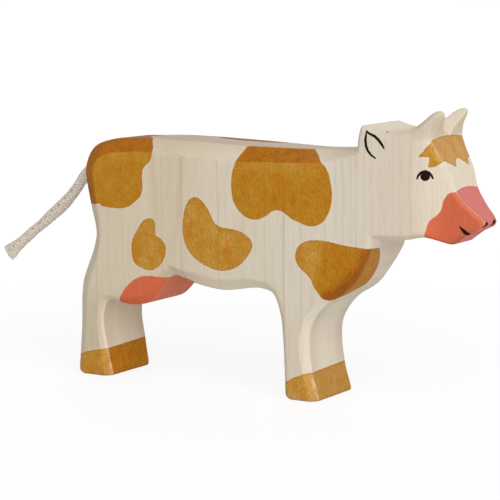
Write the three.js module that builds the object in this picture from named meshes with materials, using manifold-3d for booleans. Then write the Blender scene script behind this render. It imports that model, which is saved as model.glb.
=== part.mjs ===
// Wooden toy cow with a cotton cord tail.
// One board of maple is sawn to the cow's side view, its edges are bevelled with a knife, the head is
// narrowed towards the nose, a notch parts the horns, and a short cord is glued into a bore in the rump.
// Millimetres. +X points to the nose, +Y to the cow's left, +Z up; the soles stand on z = 0.
import * as THREE from "three";
import { mergeVertices } from "three/addons/utils/BufferGeometryUtils.js";
import Module from "manifold-3d";

const wasm = await Module();
wasm.setup();

// Board
const boardThickness = 27;

// Heights above the floor
const hornHeight = 95.5;
const earHeight = 90.6;
const crownHeight = 88.6;
const backHeight = 82.4;
const withersHeight = 81.4;
const rumpHeight = 71.3;
const noseHeight = 60.6;
const jawHeight = 53.9;
const throatHeight = 53.8;
const waistHeight = 49;
const bellyHeight = 33.5;
const udderHeight = 25.4;
const coveHeight = 26.9;
const kneeHeight = 18;

// Places along the cow
const rumpX = -73.3;
const waistX = -68.8;
const hindHeelX = -75.3;
const hindToeX = -60.7;
const udderX = -53;
const foreHeelX = 7.7;
const foreToeX = 20.7;
const neckX = 34.3;
const throatX = 41.4;
const hornX = 61.1;
const noseX = 75.2;

// Widths of the legs at the knee, seen from the side, and how far the fore knee stands behind the toe
const hindLegWidth = 9.5;
const foreLegWidth = 10.1;
const kneeSetback = 3.9;

// Bevels: the depth is measured across the board and the inset along its flat side
const rumpBevelDepth = 5;
const rumpBevelInset = 6.4;
const backBevelDepth = 3.6;
const backBevelInset = 4.8;
const withersBevelDepth = 7.8;
const headBevelDepth = 3;
const headBevelInset = 1.4;
const hornBevelDepth = 1.9;
const faceBevelDepth = 0.8;
const faceBevelInset = 0.9;
const chestBevelDepth = 8.7;
const chestBevelInset = 2.8;
const legBevelDepth = 2.6;
const legBevelInset = 2.3;
const bellyBevelDepth = 3;
const bellyBevelInset = 4;
const soleBevel = 0.9;

// Narrowing of the head, seen from above: it starts gently, over folds at these shares of the blend
const taperStartX = 56.2;
const taperBlend = 2.2;
const taperSlope = 0.44;
const taperFolds = [-1, -0.35, 0.3, 0.95];

// Notch between the horns
const notchFloorHeight = 87.6;
const notchFloorWidth = 3.8;
const notchFlare = 0.7;
const notchRise = 0.6;

// Mouth: a thin wedge cut in behind the lips
const mouthHeight = 57.2;
const lipSetback = 5;
const mouthDepth = 1.6;
const mouthGape = 0.5;

// Tail: a cord glued into a bore that runs down towards the rear
const cordDiameter = 4;
const cordSides = 10;
const boreSides = 24;
const boreHeight = 71.5;
const boreTilt = THREE.MathUtils.degToRad(15);
const boreDepth = 12;
const boreClearance = 0.3;
const drillTipAngle = THREE.MathUtils.degToRad(118);
const glueLength = 1;
const swingClearance = 0.3;

// The hanging cord's route, from the bore's mouth: back and down
const cordRoute = [
  [6.4, 4.1],
  [9.9, 8.6],
  [13.7, 12.8],
  [22.7, 19.9],
  [31.6, 27.1],
  [40.6, 34.1],
];

// Length of the steps along the sawn outline, and how far from a corner the inner edges are cut back to it
const edgeStep = 1.4;
const cornerZone = 9;

// A point of the outline: place in the side view, then the bevel's depth and inset there.
const point = (x, z, depth, inset) => ({ x, z, depth, inset });

// The stretches of the outline, clockwise from the hind heel. Two stretches meet at a corner.
const rumpAndBack = () => [
  point(hindHeelX, 0, legBevelDepth, legBevelInset + 0.9),
  point(hindHeelX + 1.2, waistHeight / 3, legBevelDepth, legBevelInset + 1.4),
  point(hindHeelX + 1.8, waistHeight * 0.65, legBevelDepth + 0.4, legBevelInset + 2),
  point(waistX - 0.8, waistHeight - 5.5, legBevelDepth + 1.4, legBevelInset + 2.2),
  point(waistX, waistHeight, rumpBevelDepth - 0.5, rumpBevelInset - 1.9),
  point(rumpX + 1.5, rumpHeight - 10.8, rumpBevelDepth, rumpBevelInset - 0.4),
  point(rumpX, rumpHeight, rumpBevelDepth, rumpBevelInset),
  point(rumpX + 3.6, backHeight - 4.1, rumpBevelDepth, rumpBevelInset - 0.6),
  point(rumpX + 11.4, backHeight - 1, rumpBevelDepth - 0.4, backBevelInset - 0.2),
  point(rumpX + 23, backHeight + 0.1, backBevelDepth + 0.4, backBevelInset - 0.4),
  point(hindToeX + 27, backHeight, backBevelDepth, backBevelInset),
  point(foreHeelX - 14.1, withersHeight + 0.3, backBevelDepth + 0.2, backBevelInset + 0.2),
  point(neckX - 19.6, withersHeight, withersBevelDepth, backBevelInset - 1),
  point(neckX - 12, withersHeight + 0.2, withersBevelDepth, backBevelInset - 1.2),
  point(neckX - 5, withersHeight + 0.6, withersBevelDepth / 2, backBevelInset / 2),
  point(neckX, withersHeight + 1.2, headBevelInset, headBevelInset),
];

const ear = () => [
  point(neckX, withersHeight + 1.2, headBevelInset, headBevelInset - 0.2),
  point(neckX + 0.5, earHeight - 3.4, headBevelInset, headBevelInset - 0.2),
  point(neckX + 1.5, earHeight, headBevelInset, headBevelInset),
];

const crownAndHorn = () => [
  point(neckX + 1.5, earHeight, headBevelInset, headBevelInset),
  point(neckX + 6.8, crownHeight + 0.8, headBevelDepth, headBevelInset + 0.2),
  point(neckX + 11.9, crownHeight, headBevelDepth, headBevelInset + 0.2),
  point(hornX - 6.5, crownHeight + 2.2, hornBevelDepth + 0.6, headBevelInset),
  point(hornX - 1.8, hornHeight - 0.8, hornBevelDepth, headBevelInset),
  point(hornX - 0.2, hornHeight, hornBevelDepth, headBevelInset),
  point(hornX + 1, hornHeight - 0.2, hornBevelDepth, headBevelInset),
  point(hornX + 1.4, hornHeight - 1.3, hornBevelDepth, headBevelInset - 0.2),
  point(hornX - 0.5, hornHeight - 5, hornBevelDepth, headBevelInset - 0.2),
  point(hornX - 1.7, hornHeight - 8.7, faceBevelDepth, faceBevelInset),
];

const face = () => [
  point(hornX - 1.7, hornHeight - 8.7, faceBevelDepth, faceBevelInset),
  point(noseX - 14, noseHeight + 22.5, faceBevelDepth, faceBevelInset),
  point(noseX - 10.3, noseHeight + 16.1, faceBevelDepth, faceBevelInset),
  point(noseX - 8.4, noseHeight + 10.2, faceBevelDepth, faceBevelInset),
  point(noseX - 4.3, noseHeight + 5, faceBevelDepth, faceBevelInset),
  point(noseX - 0.8, noseHeight + 1.6, faceBevelDepth, faceBevelInset),
  point(noseX, noseHeight, faceBevelDepth, faceBevelInset),
  point(noseX - 1.2, noseHeight - 1.4, faceBevelDepth, faceBevelInset),
];

const jaw = () => [
  point(noseX - 1.2, noseHeight - 1.4, faceBevelDepth, faceBevelInset),
  point(noseX - 4.6, noseHeight - 3, headBevelDepth / 2, faceBevelInset),
  point(noseX - 7.8, jawHeight + 1.4, headBevelDepth, faceBevelInset),
  point(noseX - 9.9, jawHeight, headBevelDepth + 0.6, faceBevelInset),
  point(noseX - 13.2, jawHeight + 0.8, headBevelDepth + 0.3, headBevelInset - 0.3),
  point(noseX - 18, jawHeight + 2.1, headBevelDepth, headBevelInset - 0.3),
  point(throatX + 10.4, jawHeight + 1.1, headBevelDepth, headBevelInset),
  point(throatX, throatHeight, headBevelDepth, headBevelInset + 0.8),
];

const chest = () => [
  point(throatX, throatHeight, headBevelDepth, headBevelInset + 0.8),
  point(throatX - 1.5, throatHeight - 4.2, chestBevelDepth - 2, chestBevelInset - 1),
  point(throatX - 2.7, throatHeight - 7.6, chestBevelDepth - 0.4, chestBevelInset - 0.4),
  point(throatX - 4.6, throatHeight - 11.3, chestBevelDepth, chestBevelInset),
  point(throatX - 7.3, throatHeight - 14.8, chestBevelDepth - 0.5, chestBevelInset),
  point(throatX - 11.3, throatHeight - 17.5, chestBevelDepth - 3.2, chestBevelInset - 0.2),
  point(foreToeX + 1.6, kneeHeight + 13.5, legBevelDepth, legBevelInset - 0.4),
  point(foreToeX - kneeSetback + 0.6, kneeHeight + 6.3, legBevelDepth, legBevelInset - 0.2),
  point(foreToeX - kneeSetback, kneeHeight, legBevelDepth, legBevelInset),
  point(foreToeX - kneeSetback + 1.1, kneeHeight - 8.5, legBevelDepth, legBevelInset),
  point(foreToeX, 0, legBevelDepth, legBevelInset),
];

const sole = (toeX, heelX) => [
  point(toeX, 0, legBevelDepth, soleBevel),
  point(toeX - legBevelInset - soleBevel, 0, soleBevel, soleBevel),
  point(heelX + legBevelInset + soleBevel, 0, soleBevel, soleBevel),
  point(heelX, 0, legBevelDepth, soleBevel),
];

const legAndBelly = () => {
  const kneeX = foreToeX - kneeSetback - foreLegWidth;
  return [
    point(foreHeelX, 0, legBevelDepth, legBevelInset),
    point((foreHeelX + kneeX) / 2, kneeHeight - 6, legBevelDepth, legBevelInset),
    point(kneeX, kneeHeight + 2, legBevelDepth, legBevelInset),
    point(kneeX - 1, kneeHeight + 9.4, legBevelDepth, legBevelInset + 0.2),
    point(kneeX - 4, bellyHeight + 0.4, bellyBevelDepth, bellyBevelInset - 1),
    point(kneeX - 8.9, bellyHeight + 1.8, bellyBevelDepth, bellyBevelInset - 1),
    point(foreHeelX - 24.4, bellyHeight, bellyBevelDepth, bellyBevelInset),
    point(udderX + 25, bellyHeight + 1.5, bellyBevelDepth, bellyBevelInset),
    point(udderX + 17.4, bellyHeight + 4.1, bellyBevelDepth, bellyBevelInset - 1.2),
  ];
};

const udder = () => [
  point(udderX + 17.4, bellyHeight + 4.1, bellyBevelDepth, bellyBevelInset - 1.2),
  point(udderX + 14.7, bellyHeight + 2.2, bellyBevelDepth, bellyBevelInset - 1.3),
  point(udderX + 11.2, udderHeight + 5.2, bellyBevelDepth, bellyBevelInset - 1.3),
  point(udderX + 7, udderHeight + 1.5, bellyBevelDepth, bellyBevelInset - 1.3),
  point(udderX, udderHeight, bellyBevelDepth, bellyBevelInset - 1.4),
  point(udderX - 4.4, udderHeight + 0.6, bellyBevelDepth - 0.4, bellyBevelInset - 2),
];

const hindLegFront = () => {
  const kneeX = hindHeelX + 1.5 + hindLegWidth;
  return [
    point(udderX - 4.4, udderHeight + 0.6, bellyBevelDepth - 0.4, bellyBevelInset - 2),
    point(udderX - 7, coveHeight, legBevelDepth - 0.4, legBevelInset - 0.9),
    point(kneeX + 1.8, coveHeight - 0.7, legBevelDepth - 0.5, legBevelInset - 1.1),
    point(kneeX, coveHeight - 7, legBevelDepth - 0.6, legBevelInset - 1.1),
    point(hindToeX - 2, kneeHeight - 8.1, legBevelDepth - 0.5, legBevelInset - 0.7),
    point(hindToeX, 0, legBevelDepth, legBevelInset - 0.2),
  ];
};

// Each stretch, and how far the corner at its end is rounded.
const stretches = () => [
  { points: rumpAndBack(), cornerReach: 0 },
  { points: ear(), cornerReach: 1 },
  { points: crownAndHorn(), cornerReach: 0 },
  { points: face(), cornerReach: 0 },
  { points: jaw(), cornerReach: 0.6 },
  { points: chest(), cornerReach: 1.2 },
  { points: sole(foreToeX, foreHeelX), cornerReach: 1.8 },
  { points: legAndBelly(), cornerReach: 1 },
  { points: udder(), cornerReach: 0 },
  { points: hindLegFront(), cornerReach: 1.2 },
  { points: sole(hindToeX, hindHeelX), cornerReach: 1.8 },
];

const mix = THREE.MathUtils.lerp;

// Samples a stretch along a smooth curve through its points, with the bevel's sizes in step.
function sampleStretch(points) {
  const curve = new THREE.CatmullRomCurve3(
    points.map((p) => new THREE.Vector3(p.x, 0, p.z)),
    false,
    "centripetal",
  );
  const samples = [];
  for (let i = 0; i < points.length - 1; i += 1) {
    const count = Math.max(2, Math.ceil(curve.points[i].distanceTo(curve.points[i + 1]) / edgeStep));
    for (let k = 0; k < count; k += 1) {
      const share = k / count;
      const at = curve.getPoint((i + share) / (points.length - 1));
      const depth = mix(points[i].depth, points[i + 1].depth, share);
      const inset = mix(points[i].inset, points[i + 1].inset, share);
      samples.push({ x: at.x, z: at.z, depth, inset });
    }
  }
  samples.push(points[points.length - 1]);
  return samples;
}

// The unit vector that points into the wood, square to the step from a to b (the outline runs clockwise).
function inward(a, b) {
  const length = Math.hypot(b.x - a.x, b.z - a.z);
  return { x: (b.z - a.z) / length, z: -(b.x - a.x) / length };
}

// Where the inset edges of two steps that meet at p cross.
function crossing(p, before, after, insetBefore, insetAfter) {
  const determinant = before.x * after.z - before.z * after.x;
  if (Math.abs(determinant) < 0.15)
    return {
      x: p.x + ((before.x + after.x) / 2) * insetAfter,
      z: p.z + ((before.z + after.z) / 2) * insetAfter,
    };
  return {
    x: p.x + (insetBefore * after.z - insetAfter * before.z) / determinant,
    z: p.z + (insetAfter * before.x - insetBefore * after.x) / determinant,
  };
}

// The closed outline. Each of its points also gets the bevel's inner edge on the flat side.
function traceOutline() {
  const runs = stretches().map(({ points }) => sampleStretch(points));
  runs.forEach(placeInner);
  const corners = stretches().map(({ cornerReach }, k) =>
    makeCorner(runs[k], runs[(k + 1) % runs.length], cornerReach),
  );
  return runs.flatMap((samples, k) => {
    const before = corners[(k + runs.length - 1) % runs.length];
    const after = corners[k];
    return [...samples.filter((p) => isClear(p, before) && isClear(p, after)), ...after.points];
  });
}

// Puts the inner edge square to the stretch. Round a tight bend it waits instead of running back.
function placeInner(samples) {
  samples.forEach((p, i) => {
    const n = inward(samples[Math.max(0, i - 1)], samples[Math.min(samples.length - 1, i + 1)]);
    p.innerX = p.x + n.x * p.inset;
    p.innerZ = p.z + n.z * p.inset;
    const last = samples[i - 1];
    if (!last || (p.innerZ - last.innerZ) * n.x - (p.innerX - last.innerX) * n.z > 0) return;
    p.innerX = last.innerX;
    p.innerZ = last.innerZ;
  });
}

const isClear = (p, corner) => Math.hypot(p.x - corner.x, p.z - corner.z) > corner.reach + 0.05;

// The corner between two stretches: rounded at the sawn edge, sharp on the flat side.
function makeCorner(samples, next, reach) {
  const { x, z, depth, inset } = samples[samples.length - 1];
  const before = inward(samples[samples.length - 2], samples[samples.length - 1]);
  const after = inward(next[0], next[1]);
  const inner = crossing({ x, z }, before, after, inset, next[0].inset);
  if (before.x * after.z < before.z * after.x) {
    stopAt(inner, before, samples, 1);
    stopAt(inner, after, next, -1);
  }
  const start = walk([...samples].reverse(), reach);
  const end = walk(next, reach);
  const steps = reach ? 4 : 0;
  const points = Array.from({ length: steps + 1 }, (unused, i) => {
    const t = steps ? i / steps : 0.5;
    return {
      x: mix(mix(start.x, x, t), mix(x, end.x, t), t),
      z: mix(mix(start.z, z, t), mix(z, end.z, t), t),
      depth: mix(depth, next[0].depth, t),
      innerX: inner.x,
      innerZ: inner.z,
    };
  });
  return { x, z, reach, points };
}

// At an outward corner the inner edges of both stretches stop where they cross.
function stopAt(inner, normal, samples, direction) {
  const corner = direction > 0 ? samples[samples.length - 1] : samples[0];
  for (const p of samples) {
    const past = (p.innerZ - inner.z) * normal.x - (p.innerX - inner.x) * normal.z;
    const isNear = Math.hypot(p.x - corner.x, p.z - corner.z) < cornerZone;
    if (isNear && past * direction > 0) {
      p.innerX = inner.x;
      p.innerZ = inner.z;
    }
  }
}

// The place at a distance along a list of samples.
function walk(samples, distance) {
  let left = distance;
  for (let i = 0; i < samples.length - 1; i += 1) {
    const [a, b] = [samples[i], samples[i + 1]];
    const step = Math.hypot(b.x - a.x, b.z - a.z);
    if (step >= left) return { x: mix(a.x, b.x, left / step), z: mix(a.z, b.z, left / step) };
    left -= step;
  }
  return samples[samples.length - 1];
}

// Half the board's thickness at a place along the cow: the head narrows towards the nose.
function halfThickness(x) {
  const past = THREE.MathUtils.clamp(x - taperStartX + taperBlend, 0, 2 * taperBlend);
  const narrowed = past ** 2 / (4 * taperBlend) + Math.max(0, x - taperStartX - taperBlend);
  return boardThickness / 2 - taperSlope * narrowed;
}

// A closed mesh: the sawn edge, the bevels on both sides and the two flat sides.
function bevelledBoard(outline) {
  const count = outline.length;
  const vertices = [];
  for (const side of [-1, 1]) {
    for (const p of outline) vertices.push([p.innerX, side * halfThickness(p.innerX), p.innerZ]);
    for (const p of outline) vertices.push([p.x, side * (halfThickness(p.x) - p.depth), p.z]);
  }
  const ring = (k, i) => k * count + (i % count);
  const faces = [];
  const order = [0, 1, 3, 2];
  for (let k = 0; k < order.length - 1; k += 1) {
    for (let i = 0; i < count; i += 1) {
      const [a, b] = [ring(order[k], i), ring(order[k], i + 1)];
      const [c, d] = [ring(order[k + 1], i), ring(order[k + 1], i + 1)];
      faces.push([a, b, c], [b, d, c]);
    }
  }
  flatSide(outline).forEach(([a, b, c]) => {
    faces.push([a, b, c]);
    faces.push([2 * count + a, 2 * count + c, 2 * count + b]);
  });
  return meshGeometry(vertices, faces);
}

// Triangles of one flat side, cut into strips where the head narrows so that each strip is flat.
function flatSide(outline) {
  const nose = outline.reduce((best, p, i) => (p.x > outline[best].x ? i : best), 0);
  const folds = taperFolds.map((share) => {
    const x = taperStartX + share * taperBlend;
    const top = outline.findLastIndex((p, i) => i < nose && p.innerX <= x);
    const bottom = outline.findIndex((p, i) => i > nose && p.innerX <= x);
    return [top, bottom];
  });
  const indices = (from, to) => {
    const list = [];
    for (let i = from; i !== to; i = (i + 1) % outline.length) list.push(i);
    list.push(to);
    return list;
  };
  const [firstTop, firstBottom] = folds[0];
  const [endTop, endBottom] = folds[folds.length - 1];
  const strips = folds.slice(1).map(([top, bottom], k) => {
    const [lastTop, lastBottom] = folds[k];
    return [...indices(lastTop, top), ...indices(bottom, lastBottom)];
  });
  strips.push(indices(firstBottom, firstTop), indices(endTop, endBottom));
  return strips.flatMap((strip) => {
    const seen = strip.filter((id, i) => {
      const p = outline[id];
      const q = outline[strip[(i + 1) % strip.length]];
      return Math.hypot(p.innerX - q.innerX, p.innerZ - q.innerZ) > 1e-6;
    });
    if (seen.length < 3) return [];
    // The outline runs clockwise, and the triangulation wants the other way round: Z comes before X.
    const contour = seen.map((id) => [outline[id].innerZ, outline[id].innerX]);
    return wasm.triangulate([contour]).map(([a, b, c]) => [seen[a], seen[c], seen[b]]);
  });
}

function meshGeometry(vertices, faces) {
  const geometry = new THREE.BufferGeometry();
  geometry.setAttribute("position", new THREE.Float32BufferAttribute(vertices.flat(), 3));
  geometry.setIndex(faces.flat());
  return geometry;
}

// A three.js geometry as a solid, and back.
function solidFrom(geometry) {
  const bare = geometry.clone();
  bare.deleteAttribute("normal");
  bare.deleteAttribute("uv");
  const merged = mergeVertices(bare, 1e-4);
  const kept = [];
  const ids = merged.index.array;
  for (let i = 0; i < ids.length; i += 3) {
    const [a, b, c] = [ids[i], ids[i + 1], ids[i + 2]];
    if (a !== b && b !== c && c !== a) kept.push(a, b, c);
  }
  return new wasm.Manifold(
    new wasm.Mesh({
      numProp: 3,
      vertProperties: new Float32Array(merged.attributes.position.array),
      triVerts: new Uint32Array(kept),
    }),
  );
}

function geometryFrom(solid) {
  const mesh = solid.getMesh();
  const positions = [];
  for (let i = 0; i < mesh.numVert; i += 1) {
    for (let k = 0; k < 3; k += 1) positions.push(mesh.vertProperties[i * mesh.numProp + k]);
  }
  const geometry = new THREE.BufferGeometry();
  geometry.setAttribute("position", new THREE.Float32BufferAttribute(positions, 3));
  geometry.setIndex(Array.from(mesh.triVerts));
  const shaded = geometry.toNonIndexed();
  shaded.computeVertexNormals();
  return shaded;
}

// The notch between the horns: a V with a narrow floor that rises towards the back of the head.
function hornNotch() {
  const tall = boardThickness;
  const shape = new THREE.Shape([
    new THREE.Vector2(-notchFloorWidth / 2, 0),
    new THREE.Vector2(notchFloorWidth / 2, 0),
    new THREE.Vector2(notchFloorWidth / 2 + tall * notchFlare, tall),
    new THREE.Vector2(-notchFloorWidth / 2 - tall * notchFlare, tall),
  ]);
  const length = 2 * (noseX - hornX);
  const geometry = new THREE.ExtrudeGeometry(shape, { depth: length, bevelEnabled: false });
  // The shape's X becomes +Y and its Y becomes up; the extrusion runs forward and down.
  const across = new THREE.Vector3(0, 1, 0);
  const forward = new THREE.Vector3(1, 0, -notchRise).normalize();
  const up = new THREE.Vector3().crossVectors(forward, across);
  const frame = new THREE.Matrix4().makeBasis(across, up, forward);
  const start = new THREE.Vector3(hornX - 1.8, 0, notchFloorHeight).addScaledVector(forward, -length / 2);
  return geometry.applyMatrix4(frame.setPosition(start));
}

// The gap between the lips, a thin wedge right across the muzzle.
function mouthGap() {
  const lipX = noseX - lipSetback;
  const reach = lipSetback;
  const gape = (mouthGape * (mouthDepth + reach)) / mouthDepth;
  const shape = new THREE.Shape([
    new THREE.Vector2(lipX - mouthDepth, mouthHeight),
    new THREE.Vector2(lipX + reach, mouthHeight - gape),
    new THREE.Vector2(lipX + reach, mouthHeight),
  ]);
  const geometry = new THREE.ExtrudeGeometry(shape, { depth: boardThickness, bevelEnabled: false });
  return geometry.rotateX(Math.PI / 2).translate(0, boardThickness / 2, 0);
}

// Where the rump's edge is at a height.
function rumpEdgeX(outline, height) {
  const i = outline.findIndex((p, k) => p.z <= height && outline[k + 1].z > height);
  const [a, b] = [outline[i], outline[i + 1]];
  return mix(a.x, b.x, (height - a.z) / (b.z - a.z));
}

const outline = traceOutline();
const cordRadius = cordDiameter / 2;
const boreRadius = cordRadius + boreClearance;
const drillTip = boreRadius / Math.tan(drillTipAngle / 2);
const boreMouth = new THREE.Vector3(rumpEdgeX(outline, boreHeight), 0, boreHeight);
const inwards = new THREE.Vector3(Math.cos(boreTilt), 0, Math.sin(boreTilt));
const swingPoint = boreMouth.clone().addScaledVector(inwards, -cordRadius - swingClearance);

// A round solid about the bore's line, from a profile of [distance into the rump, radius].
function boreSolid(profile, sides) {
  const lathe = new THREE.LatheGeometry(
    profile.map(([deep, radius]) => new THREE.Vector2(radius, deep)),
    sides,
  );
  return lathe.rotateZ(-Math.PI / 2).rotateY(-boreTilt).translate(boreMouth.x, 0, boreMouth.z);
}

function makeBody() {
  const outside = -2 * cordDiameter;
  const bore = boreSolid(
    [
      [outside, 0],
      [outside, boreRadius],
      [boreDepth, boreRadius],
      [boreDepth + drillTip, 0],
    ],
    boreSides,
  );
  return solidFrom(bevelledBoard(outline))
    .subtract(solidFrom(hornNotch()))
    .subtract(solidFrom(mouthGap()))
    .subtract(solidFrom(bore));
}

// The end of the cord that is glued into the bore.
function makeTailRoot() {
  const length = boreDepth - glueLength;
  return boreSolid(
    [
      [0, 0],
      [0, cordRadius],
      [length, cordRadius],
      [length, 0],
    ],
    cordSides,
  );
}

// The glue that fills the drill's point behind the cord's end.
function makeTailGlue() {
  const coneStart = boreDepth - boreClearance * Math.tan(drillTipAngle / 8);
  const coneLength = cordRadius / Math.tan(drillTipAngle / 2);
  const start = boreDepth - glueLength + boreClearance;
  return boreSolid(
    [
      [start, 0],
      [start, cordRadius],
      [coneStart, cordRadius],
      [coneStart + coneLength, 0],
    ],
    cordSides,
  );
}

// The free cord, round at its upper end so that it can swing in front of the bore.
function makeTailCord() {
  const route = cordRoute.map(([back, down]) => new THREE.Vector3(-back, 0, -down).add(boreMouth));
  const path = new THREE.CatmullRomCurve3([swingPoint, ...route], false, "centripetal");
  const section = new THREE.Shape();
  section.absarc(0, 0, cordRadius, 0, 2 * Math.PI);
  const tube = new THREE.ExtrudeGeometry(section, {
    curveSegments: cordSides,
    steps: 3 * cordRoute.length,
    extrudePath: path,
  });
  const end = new THREE.SphereGeometry(cordRadius, cordSides, cordSides / 2);
  end.rotateX(Math.PI / 2).translate(swingPoint.x, swingPoint.y, swingPoint.z);
  return solidFrom(tube).add(solidFrom(end));
}

const maple = new THREE.MeshStandardMaterial({ color: 0xd9cdb6, roughness: 0.6, metalness: 0 });
const cotton = new THREE.MeshStandardMaterial({ color: 0xcdc3b4, roughness: 0.95, metalness: 0 });
const woodGlue = new THREE.MeshStandardMaterial({ color: 0xe8dfc8, roughness: 0.4, metalness: 0 });

const cow = new THREE.Group();

function addPiece(name, geometry, material) {
  const mesh = new THREE.Mesh(geometry, material);
  mesh.name = name;
  cow.add(mesh);
}

addPiece("body", geometryFrom(makeBody()), maple);
addPiece("tail_root", makeTailRoot(), cotton);
addPiece("tail_glue", makeTailGlue(), woodGlue);
addPiece("tail_cord", geometryFrom(makeTailCord()), cotton);

export default cow;
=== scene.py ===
# %% [markdown]
# # A wooden toy cow
# The cow is sawn from one maple board, its edges are bevelled with a knife, and a short cotton cord is
# glued into the rump. Ochre stain and coral paint give it patches, hooves, a muzzle and an udder. The
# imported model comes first, as a fixed frame. All places below are millimetres times MM, in that frame: +X
# to the nose, +Y to the cow's left, +Z up, with the soles on the floor.

# %% Load the frame
import math

import bpy
import numpy as np
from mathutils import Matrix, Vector, noise
from mathutils.bvhtree import BVHTree


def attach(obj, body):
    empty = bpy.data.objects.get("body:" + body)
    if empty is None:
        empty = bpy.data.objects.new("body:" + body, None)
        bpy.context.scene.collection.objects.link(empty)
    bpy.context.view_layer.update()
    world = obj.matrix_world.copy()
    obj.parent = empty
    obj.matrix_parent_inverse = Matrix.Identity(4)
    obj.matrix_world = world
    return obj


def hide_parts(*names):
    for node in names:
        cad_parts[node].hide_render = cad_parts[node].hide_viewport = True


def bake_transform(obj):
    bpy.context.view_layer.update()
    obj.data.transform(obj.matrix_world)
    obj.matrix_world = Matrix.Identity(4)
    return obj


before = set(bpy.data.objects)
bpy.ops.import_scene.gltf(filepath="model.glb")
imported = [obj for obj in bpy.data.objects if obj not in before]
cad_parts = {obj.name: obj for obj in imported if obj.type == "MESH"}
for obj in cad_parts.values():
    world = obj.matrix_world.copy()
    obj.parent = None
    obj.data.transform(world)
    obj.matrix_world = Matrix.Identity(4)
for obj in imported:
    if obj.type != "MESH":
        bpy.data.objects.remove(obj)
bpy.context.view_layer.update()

MM = 0.001
scene = bpy.context.scene

# %% [markdown]
# ## Camera
# The photograph looks at the cow's right side from a little in front and above. Its angle and lens were
# worked out from edges of the board that appear twice, near and far. A long lens keeps the board's edges
# nearly parallel, which a short lens close up would not.

# %% Camera
def direction(azimuth, elevation):
    """Where a thing stands, seen from the cow: degrees from its right side to its nose, and degrees up."""
    a, e = math.radians(azimuth), math.radians(elevation)
    return Vector((math.sin(a) * math.cos(e), -math.cos(a) * math.cos(e), math.sin(e)))


AIM_MM, DISTANCE_MM = Vector((-12.5, 0, 45.9)), 686.25
towards_camera = direction(31.53, 8.0)
camera = bpy.data.objects.new("camera", bpy.data.cameras.new("camera"))
scene.collection.objects.link(camera)
scene.camera = camera
camera.data.sensor_width = 36
camera.data.lens = 148.5
camera.data.clip_start, camera.data.clip_end = 0.01, 20
camera.location = AIM_MM * MM + towards_camera * DISTANCE_MM * MM
camera.rotation_mode = "QUATERNION"
camera.rotation_quaternion = towards_camera.to_track_quat("Z", "Y")
print("camera at", [round(c, 3) for c in camera.location])

# %% [markdown]
# ## Smooth lines
# A maker draws a patch or lays a cord with a few points and one easy sweep through them. This helper does
# the same: a centripetal Catmull-Rom line passes through each point and doesn't swing out between close
# ones, as a plain one would. The CAD source lays its cord with the same kind of line.


# %% A line through given points
def sweep(points, closed=False, steps=8):
    """Points along a smooth line through the given ones."""
    p = np.array(points, float)
    if closed:
        ring = np.vstack([p[-1], p, p[0], p[1]])
    else:
        ring = np.vstack([2 * p[0] - p[1], p, 2 * p[-1] - p[-2]])
    knots = np.concatenate(
        [[0], np.cumsum(np.linalg.norm(np.diff(ring, axis=0), axis=1) ** 0.5)]
    )
    line = []
    for i in range(1, len(ring) - 2):
        a, b, c, d = ring[i - 1 : i + 3]
        ta, tb, tc, td = knots[i - 1 : i + 3]
        t = np.linspace(tb, tc, steps, endpoint=False)[:, None]
        ab = ((tb - t) * a + (t - ta) * b) / (tb - ta)
        bc = ((tc - t) * b + (t - tb) * c) / (tc - tb)
        cd = ((td - t) * c + (t - tc) * d) / (td - tc)
        abc = ((tc - t) * ab + (t - ta) * bc) / (tc - ta)
        bcd = ((td - t) * bc + (t - tb) * cd) / (td - tb)
        line.append(((tc - t) * abc + (t - tb) * bcd) / (tc - tb))
    if not closed:
        line.append(p[-1:])
    return np.vstack(line)


def length_of(line):
    return float(np.linalg.norm(np.diff(line, axis=0), axis=1).sum())


# %% [markdown]
# ## Tail cord
# The tail is about 53 mm of soft braided cotton cord, 4 mm thick. It comes straight out of its bore,
# drops, and ends in a cut that has splayed a little. The photograph shows all but its first 8 mm or so,
# which the rump hides. That stretch is inferred from a bore in the middle of the board. The braid could
# be painted on a plain tube, but its strands show at the edges of the cord, so they are real relief here:
# two families of strands wind round the cord and pass over and under each other.

# %% Route of the cord
BORE_MOUTH = np.array([-73.25, 0, 71.5]) * MM
SWING_POINT = np.array([-75.472, 0, 70.905]) * MM
BORE_TILT = math.radians(15)
INTO_RUMP = np.array([math.cos(BORE_TILT), 0, math.sin(BORE_TILT)])
CORD_RADIUS = 2 * MM
BACK_AND_DOWN = [
    (6.4, 4.1),
    (9.9, 8.6),
    (13.7, 12.8),
    (22.7, 19.9),
    (31.6, 27.1),
    (40.6, 34.1),
]
free_points = [BORE_MOUTH + np.array([-back, 0, -down]) * MM for back, down in BACK_AND_DOWN]
cord_line = sweep(
    [BORE_MOUTH + INTO_RUMP * 3 * MM, BORE_MOUTH + INTO_RUMP * 0.5 * MM, SWING_POINT, *free_points],
    steps=60,
)
print("cord length from inside the bore, mm:", round(length_of(cord_line) / MM, 1))

# %% Thick and thin places of the cord
# Places along the cord in mm from its inner end, and its width there as a share of 4 mm.
WIDTH_AT = [0, 17, 21, 25, 27, 31, 35, 37, 39, 43, 49, 51, 53, 55, 57]
WIDTH_SHARE = [1.0, 0.97, 1.0, 1.12, 1.15, 1.1, 1.03, 0.96, 0.92, 0.96, 0.98, 1.08, 1.26, 1.46, 1.62]
# The scissors have pressed the end flat, so it is thin from left to right.
THICK_SHARE = WIDTH_SHARE[:11] + [0.92, 0.8, 0.66, 0.55]
# The cord sags a little out of its line in the middle.
SAG_AT, SAG = [0, 22, 28, 37, 42, 57], [0, 0, 0.28, 0.34, 0.05, 0]
# Deeper gaps where two strands meet, in one row along the cord.
PIT_AT = [18.3 + 3.78 * i for i in range(10)]
PIT_TURN = 0.724
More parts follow.
